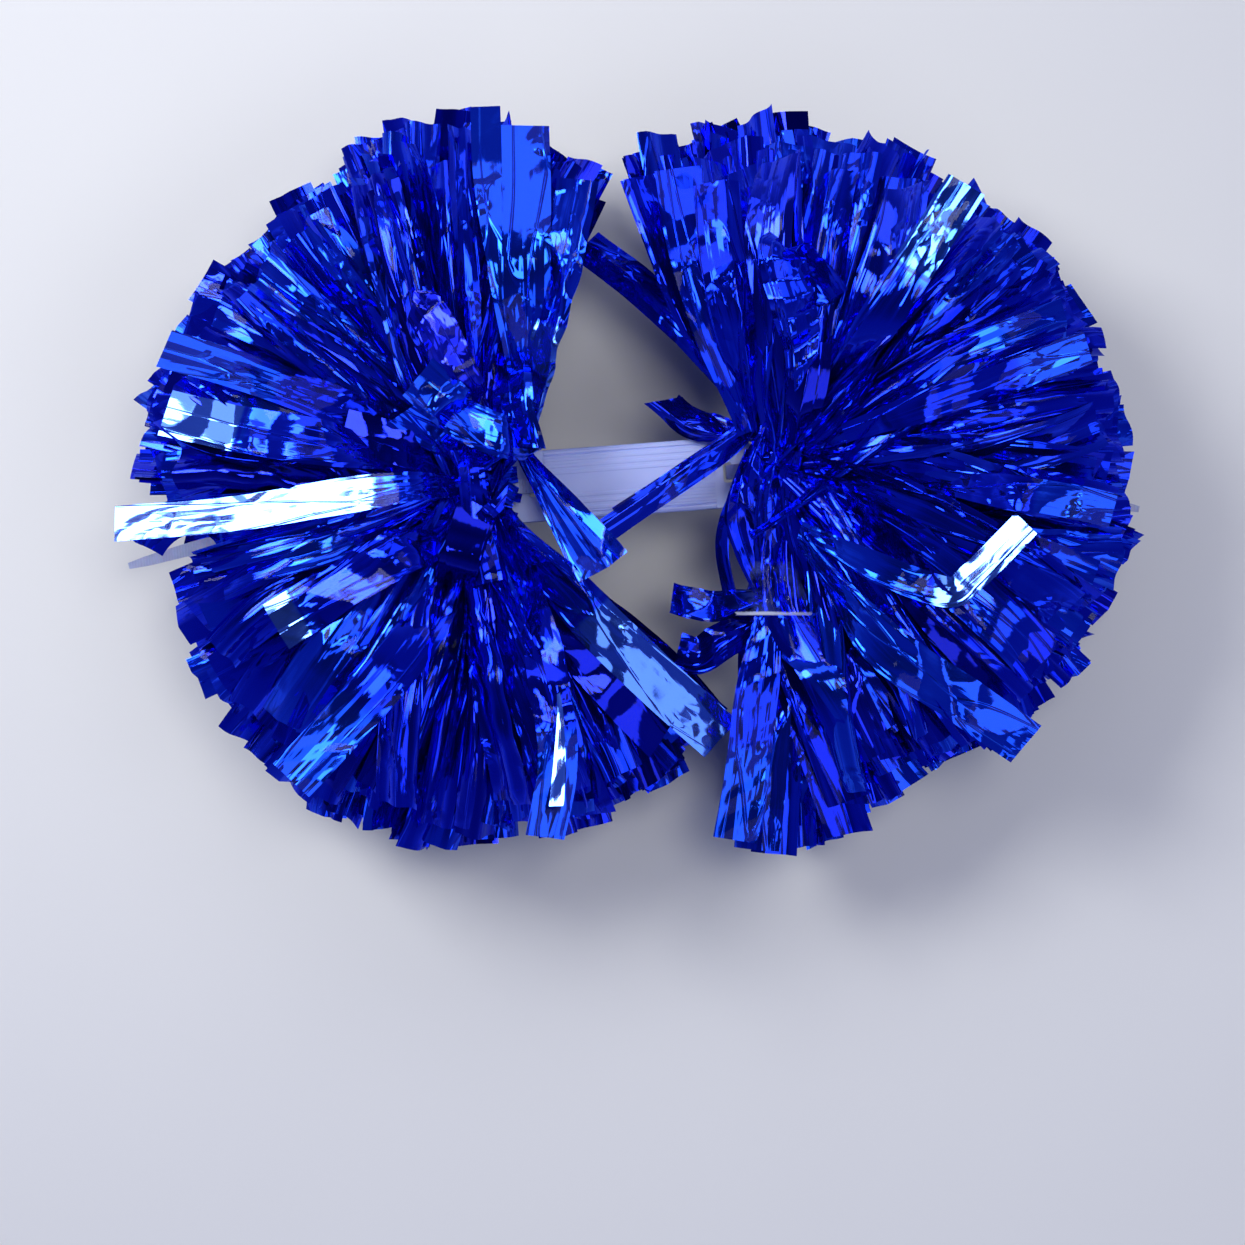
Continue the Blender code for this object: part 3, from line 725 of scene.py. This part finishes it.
def film_material():
    """Metallised blue film: a dyed mirror under a clear layer. Its colour ramp is the film's own blue, but
    for painted shade at its darkest end and painted highlight at its palest. Its creases and crinkles are
    fields of flat-sided pyramids, so that the facets are flat and the folds sharp. They show least on the
    darkest and palest strips."""
    material, nodes, shader = new_material("film_blue")
    uv = nodes.add("UVMap", "UV", uv_map="film")
    tint = nodes.add("Attribute", "Fac", attribute_name="tint")
    patches = nodes.noise(uv, noise_dimensions="2D", Scale=38.0, Detail=1.0)
    relief = nodes.math(
        "MINIMUM",
        nodes.between(tint, 0.8, 0.25, From_Min=0.95, From_Max=1.0),
        nodes.between(tint, 0.2, 0.8, From_Min=0.07, From_Max=0.12),
    )
    height = film_height(nodes, uv, patches)
    nodes.set(
        shader,
        # The ramp paints shade at its darkest end and highlight at its palest
        Base_Color=nodes.ramp(tint, FILM_TONES_AND_PAINTED_LIGHT),
        Normal=nodes.add("Bump", "Normal", Height=height, Strength=relief, Distance=0.0008),
        Roughness=nodes.between(patches, 0.04, 0.15),
        Metallic=0.95,
        Specular_Tint=(0.55, 0.65, 1.0, 1.0),
        Coat_Weight=0.12,
        Coat_Roughness=0.04,
        Coat_IOR=1.55,
    )
    return material


def handle_material():
    """Extruded white plastic: faint drawn lines along it, and a slight mottle. Its colour has a painted blue
    cast: the light that the film throws on it.
    """
    material, nodes, shader = new_material("handle_white")
    where = nodes.add("TexCoord", "Object")
    drawn_at = nodes.add("Mapping", "Vector", Vector=where, Scale=(8.0, 900.0, 300.0))
    drawn = nodes.noise(drawn_at, Scale=1.0, Detail=3.0)
    mottle = nodes.noise(where, Scale=140.0, Detail=4.0)
    nodes.set(
        shader,
        Base_Color=nodes.ramp(mottle, HANDLE_WHITE_AND_PAINTED_BLUE_LIGHT),
        Normal=nodes.add("Bump", "Normal", Height=drawn, Strength=0.1, Distance=0.0002),
        Roughness=nodes.between(drawn, 0.34, 0.48),
        Subsurface_Weight=0.15,
        Subsurface_Scale=0.002,
    )
    return material


def tie_material():
    """Natural nylon: milky and slightly glossy, with the fine teeth of the strap across it."""
    material, nodes, shader = new_material("tie_natural")
    where = nodes.add("TexCoord", "Object")
    teeth = nodes.add(
        "TexWave", "Fac", Vector=where, wave_type="BANDS", bands_direction="X", Scale=320.0, Distortion=0.0
    )
    cloud = nodes.noise(where, Scale=260.0, Detail=3.0)
    nodes.set(
        shader,
        Base_Color=nodes.ramp(cloud, TIE_COLORS),
        Normal=nodes.add("Bump", "Normal", Height=teeth, Strength=0.4, Distance=0.0002),
        Roughness=nodes.between(cloud, 0.22, 0.42),
        Transmission_Weight=0.12,
        Subsurface_Weight=0.3,
        Subsurface_Scale=0.002,
    )
    return material


def tape_material():
    """Clear tape: nearly invisible but for its gloss, a faint haze, the rims of the air trapped under it,
    and a painted highlight: white painted along its rolled edge, where the edge catches the light."""
    material, nodes, shader = new_material("tape_clear")
    uv = nodes.add("UVMap", "UV", uv_map="film")
    edge = nodes.add("Attribute", "Fac", attribute_name="tint")
    bubbles = nodes.cells(uv, Scale=420.0)
    haze = nodes.noise(uv, noise_dimensions="2D", Scale=110.0, Detail=2.0)
    seen = nodes.math("MULTIPLY_ADD", nodes.ramp(bubbles, BUBBLE_RIMS), RIM_OPACITY, haze)
    # The rolled edge is made opaque so that its painted highlight shows
    seen = nodes.math("ADD", seen, edge)
    nodes.set(
        shader,
        Base_Color=nodes.ramp(edge, TAPE_COLORS),
        Normal=nodes.add("Bump", "Normal", Height=haze, Strength=0.5, Distance=0.0006),
        Alpha=nodes.between(seen, 0.01, 0.95, From_Min=0.48, From_Max=1.2),
        Roughness=0.06,
        IOR=1.55,
        Coat_Weight=1.0,
        Coat_Roughness=0.03,
    )
    return material


def azimuth_reach(side, azimuth):
    """How far a head's tips reach from the middle of its band."""
    change = 0.0
    for at, spread, most in REACH_CHANGES[side]:
        change += most * math.exp(-(((azimuth - at) / spread) ** 2))
    return REACH + change


def away_from_gap(side, azimuth):
    """0 at the edges of the gap between the heads, where the strips lie low, and 1 well away from it."""
    _, first, last, _ = BUNCHES[side]["middle"]
    return float(smoothstep(GAP_MARGIN, GAP_WIDTH, min(azimuth - first, last - azimuth)))


def strip_ends(rng, tier, reach, layer, away):
    """Where a strip starts and ends, for its layer in the tier: the heights of both, the reach of its tip,
    its rise at both, and how far its root lies behind the band's middle, or None at the band's side."""
    run = TIERS[tier]
    root_z, tip_z = climb(run["root"], layer), climb(run["tip"], layer)
    root_rise = climb(run["root_rise"], layer)
    if tier == "upper":
        low = climb(BESIDE_GAP, away)
        tip_z = UPPER_BASE + low * tip_z
        if away > ARCH_AWAY and (layer > ARCH_LAYER or rng.uniform(0, 1) < ARCH_SHARE):
            tip_reach = reach * climb(ARCH_REACH, layer) * rng.uniform(*ARCH_STRAY)
            root_rise = low * rng.uniform(*ARCH_RISE)
            root_z = rng.uniform(*ARCH_ROOT)
            return Ends(root_z, tip_z, tip_reach, root_rise, rng.uniform(*ARCH_TIP_RISE), OVER_BAND)
        reach = reach * climb(UPPER_REACH, layer)
        root_rise = low * root_rise
    tip_reach = reach * rng.uniform(*run["reach"])
    return Ends(root_z, tip_z, tip_reach, root_rise, rng.uniform(*run["tip_rise"]), None)


def clumps(count, rng):
    """The strips of a bunch in stacks that cling together."""
    stacks = []
    left = count
    while left > 0:
        size = min(left, int(rng.choice(STACK_SIZES)))
        stacks.append(size)
        left -= size
    return stacks


def strip_path(centre, azimuth, tip_azimuth, bow, ends, neck, rng):
    """A strip's middle line from the band to its tip, through the neck where the tape gathers it."""
    if ends.behind is None:
        root = centre + np.array([*ROOT_ELLIPSE, 0.0]) * outward(azimuth)
    else:
        root = centre - ends.behind * outward(azimuth) + np.append(rng.normal(0, 1, 2) * ROOT_SPREAD, 0.0)
    root[2] = ends.root_z
    tip = centre + ends.reach * outward(tip_azimuth)
    tip[2] = ends.tip_z + rng.normal(0, TIP_STRAY)
    if neck is not None:
        x, y = neck[0] + rng.normal(0, NECK_STRAY[0]), neck[1] + rng.normal(0, NECK_STRAY[1])
        narrow = np.array([x, y, ends.root_z - NECK_DROP])
        rise = SWELL_SHARE * (ends.tip_z - ends.root_z) + SWELL
        swell = (narrow + tip) / 2 + np.array([0.0, 0.0, rise])
        return through([root, narrow, swell, tip], ALONG + 1)
    span = np.linalg.norm(tip - root)
    from_root = root + PATH_PULL[0] * span * outward(azimuth + bow, ends.root_rise)
    to_tip = tip - PATH_PULL[1] * span * outward(azimuth - bow, ends.tip_rise)
    return bezier(root, from_root, to_tip, tip, ALONG + 1)


def stack_habit(tier, rng):
    """What the strips of a stack share: how far their tips lie aside, their bow, their rolls at the root and
    the tip, and their folds."""
    strays = tier != "lower" and rng.uniform(0, 1) < STRAY_SHARE
    shift, bow = rng.normal(0, STRAY_SHIFT if strays else CALM_SHIFT), rng.normal(0, BOW)
    soft = rng.uniform(0, 1) < SOFT_SHARE
    rolls = (rng.normal(0, STACK_ROLLS[0]), rng.normal(0, STACK_ROLLS[1]))
    panels = 0 if soft else int(rng.choice(PANELS))
    fold = (rng.uniform(*ROOT_FOLDS), rng.uniform(*(SOFT_TIP_FOLDS if soft else TIP_FOLDS)))
    crumple = rng.choice(CRUMPLE_KINDS, p=CRUMPLE_SHARES)
    return shift, bow, rolls, dict(panels=panels, fold=fold, crumple=crumple)


def bunch(side, centre, tier, azimuths, count, rng):
    """All the strips of one bunch, from the lowest to the highest layer."""
    film = Film(rng)
    first, last = azimuths
    stacks = clumps(count, rng)
    order = rng.permutation(len(stacks))
    done = 0
    for stack, place in zip(stacks, order):
        azimuth = first + (last - first) * (place + rng.uniform(*STACK_PLACE)) / len(stacks)
        shift, bow, rolls, folds = stack_habit(tier, rng)
        taped = side == TAPED_SIDE and azimuth < TAPED_LAST
        neck, look = (TAPED_NECK, TAPED_LOOK) if taped else (None, {})
        reach, away = azimuth_reach(side, azimuth), away_from_gap(side, azimuth)
        for _ in range(stack):
            layer = (done + rng.uniform(0, 1)) / count
            ends = strip_ends(rng, tier, reach, layer, away)
            tip_azimuth = azimuth + shift + rng.normal(0, TIP_SHIFT)
            root_azimuth = azimuth + rng.normal(0, ROOT_SHIFT)
            film.strip(
                strip_path(centre, root_azimuth, tip_azimuth, bow, ends, neck, rng),
                level_across(outward(azimuth)),
                roll=(rolls[0] + rng.normal(0, STRIP_ROLL), rolls[1] + rng.normal(0, STRIP_ROLL)),
                curl=rng.normal(0, STRIP_CURL),
                slant=rng.normal(0, STRIP_SLANT),
                **folds,
                **look,
            )
            done += 1
    return film


def lay(film, heights, points, rests=True, **options):
    """Adds a strip through the given points, its width level unless the options turn it."""
    if rests:
        points = heights.lifted(points, options.get("width", FILM_WIDTH))
    path = through(points, FINE[0] + 1)
    film.strip(path, unit(level_across(path[-1] - path[0])), cols=FINE[1], **options)
    heights.add(film.points[-1])


def add_bunches(heights):
    rng = np.random.default_rng(SEED)
    films = {}
    for side in SIDES:
        low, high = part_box(f"{side}_gathered_band")
        centre = np.array([(low[0] + high[0]) / 2 / MM, 0.0, 0.0])
        for tier, (number, first, last, strips) in BUNCHES[side].items():
            pitch = (last - first) / number
            for i in range(number):
                azimuths = (first + pitch * i, first + pitch * (i + 1))
                film = bunch(side, centre, tier, azimuths, strips, rng)
                films[f"{side}_{tier}_streamers_{i + 1}"] = film
                for points in film.points:
                    heights.add(points)
    for node, film in films.items():
        for points, options in TOP_STRIPS.get(node, ()):
            lay(film, heights, points, **options)
        obj = film.mesh(f"{node}_film")
        side, tier = node.split("_")[:2]
        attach(obj, f"{side}_head" if tier == "lower" else node)
        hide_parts(node)
        film.declare(obj)


def add_crossing_strips(heights):
    """The strips that lie across the handle and in the gap above it, with the small ones beside them."""
    rng = np.random.default_rng(SEED + 1)
    for node, strips in CROSSING_STRIPS.items():
        film = Film(rng)
        for points, options in strips:
            lay(film, heights, points, **options)
        obj = film.mesh(node.replace("streamer", "film"))
        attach(obj, node.split("_")[0] + "_head")
        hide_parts(node)
        film.declare(obj)


def pleat_path(middle, turn, rng):
    """A pleat's line along the band, which narrows to the tie in the middle."""
    path = []
    for y in np.linspace(-BAND_HALF, BAND_HALF, BAND_STEPS):
        flare = abs(y / BAND_HALF) ** FLARE_POWER
        half_axes = np.array(BAND_WAIST) + np.array(BAND_FLARE) * flare
        wide, high = half_axes * rng.uniform(*PLEAT_SIZES)
        path.append(middle + np.array([wide * math.cos(turn), y, high * math.sin(turn)]))
    return through(path, ALONG + 1)


def add_bands():
    """The gathered middle of each stack: film in deep pleats that narrow to the tie."""
    rng = np.random.default_rng(SEED + 2)
    for side in SIDES:
        node = f"{side}_gathered_band"
        low, high = (np.array(corner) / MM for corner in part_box(node))
        middle = (low + high) / 2
        film = Film(rng)
        for k in range(BAND_PLEATS):
            turn = 2 * math.pi * (k + rng.uniform(-PLEAT_STRAY, PLEAT_STRAY)) / BAND_PLEATS
            film.strip(
                pleat_path(middle, turn, rng),
                np.array([-math.sin(turn), 0.0, math.cos(turn)]),
                width=PLEAT_WIDTH,
                panels=PLEAT_FOLDS,
                fold=(PLEAT_TILT, PLEAT_TILT),
                gather=1.0,
                crumple=PLEAT_CRUMPLE,
                floor=False,
            )
        obj = film.mesh(f"{side}_band_film")
        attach(obj, f"{side}_head")
        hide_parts(node)
        film.declare(obj)


def tape_points(rng):
    """The tape's points and how much painted highlight they take, white along the rolled edge: it sags to
    both sides, traps air and has a rolled edge.
    """
    near_left, near_right, far_right, far_left = (np.array(corner) for corner in TAPE_CORNERS)
    along = np.linspace(0, 1, TAPE_POINTS[0])[:, None, None]
    across = np.linspace(0, 1, TAPE_POINTS[1])[None, :, None]
    near = near_left + (near_right - near_left) * across
    far = far_left + (far_right - far_left) * across
    plan = (1 - along) * near + along * far
    x, y = plan[..., 0], plan[..., 1]
    height = TAPE_TOP - TAPE_SAG * (x - TAPED_NECK[0]) ** 2
    for rise, across_x, along_y in TAPE_RIPPLES:
        height = height + rise * np.sin(x / across_x + y / along_y)
    for _ in range(TAPE_BUBBLES):
        row, col = rng.integers(*BUBBLE_ROWS), rng.integers(*BUBBLE_COLUMNS)
        radius = rng.uniform(*BUBBLE_SIZES)
        away = ((x - x[row, col]) ** 2 + (y - y[row, col]) ** 2) / radius**2
        height = height + BUBBLE_HEIGHT * np.clip(1 - away, 0, 1)
    roll = np.radians(EDGE_ROLL) * (1 - smoothstep(*EDGE_SPAN, along[..., 0]))
    y = y - EDGE_RADIUS * np.sin(roll)
    height = height - EDGE_RADIUS * (1 - np.cos(roll))
    # The painted highlight along the rolled edge
    white = 1 - smoothstep(*EDGE_HIGHLIGHT_SPAN, along[..., 0])
    return np.stack(np.broadcast_arrays(x, y, height), axis=-1), np.broadcast_to(white, x.shape)


def add_tape():
    """Clear tape over the neck of the strips that it gathers."""
    film = Film(np.random.default_rng(SEED + 3))
    points, white = tape_points(film.rng)
    film.points.append(points)
    film.uvs.append(points[..., :2])
    # The painted highlight along the rolled edge
    film.tints.append(white)
    obj = film.mesh("right_tape", "tape_clear")
    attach(obj, TAPED_NODE)
    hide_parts("right_clear_tape")


def set_node_materials():
    """The CAD's handle and ties keep their shapes and take the finished materials."""
    for node, slot in NODE_MATERIALS.items():
        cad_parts[node].material_slots[0].material = MATERIALS[slot]


def add_floor():
    bpy.ops.mesh.primitive_plane_add(size=FLOOR_SIZE, location=(0, 0, FLOOR_HEIGHT))
    floor = bpy.context.object
    floor.name = "floor"
    material, nodes, shader = new_material("floor_pale")
    speckle = nodes.add("TexNoise", "Fac", Scale=90.0, Detail=3.0)
    nodes.set(shader, Base_Color=nodes.ramp(speckle, FLOOR_COLORS), Roughness=0.7)
    floor.data.materials.append(material)


def add_area(name, place, size, watts, color):
    data = bpy.data.lights.new(name, "AREA")
    data.shape = "RECTANGLE"
    data.size, data.size_y = size
    data.energy = watts
    data.color = color
    obj = bpy.data.objects.new(name, data)
    bpy.context.scene.collection.objects.link(obj)
    obj.location = place
    obj.rotation_euler = (Vector(AIM) - Vector(place)).to_track_quat("-Z", "Y").to_euler()


def add_lights():
    for name, light in LIGHTS.items():
        add_area(name, *light)
    add_world()
    bpy.context.scene.view_settings.view_transform = "Standard"


def add_world():
    """A dim blue studio, lighter towards its walls, so that each tilt of the film has a shade of its own."""
    world = bpy.context.scene.world or bpy.data.worlds.new("studio")
    bpy.context.scene.world = world
    world.use_nodes = True
    nodes = Nodes(world.node_tree)
    where = nodes.add("TexCoord", "Generated")
    up = nodes.add("SeparateXYZ", "Z", Vector=where)
    nodes.set(nodes.tree.nodes["Background"], Color=nodes.ramp(up, WORLD_COLORS), Strength=1.0)


def add_camera():
    data = bpy.data.cameras.new("camera")
    camera = bpy.data.objects.new("camera", data)
    bpy.context.scene.collection.objects.link(camera)
    low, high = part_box("handle")
    height = (low[2] + high[2]) / 2 + CAMERA_DISTANCE * MM
    camera.location = (CAMERA_OVER[0] * MM, CAMERA_OVER[1] * MM, height)
    camera.rotation_euler = (0, 0, math.radians(CAMERA_ROLL))
    data.sensor_width = SENSOR_WIDTH
    data.lens = SENSOR_WIDTH * CAMERA_DISTANCE / FIELD
    data.clip_start, data.clip_end = CAMERA_SEES
    bpy.context.scene.camera = camera


MATERIALS = {
    "film_blue": film_material(),
    "handle_white": handle_material(),
    "tie_natural": tie_material(),
    "tape_clear": tape_material(),
}
add_camera()
add_lights()
add_floor()
HEIGHTS = Heights()
add_bunches(HEIGHTS)
add_crossing_strips(HEIGHTS)
add_bands()
add_tape()
set_node_materials()
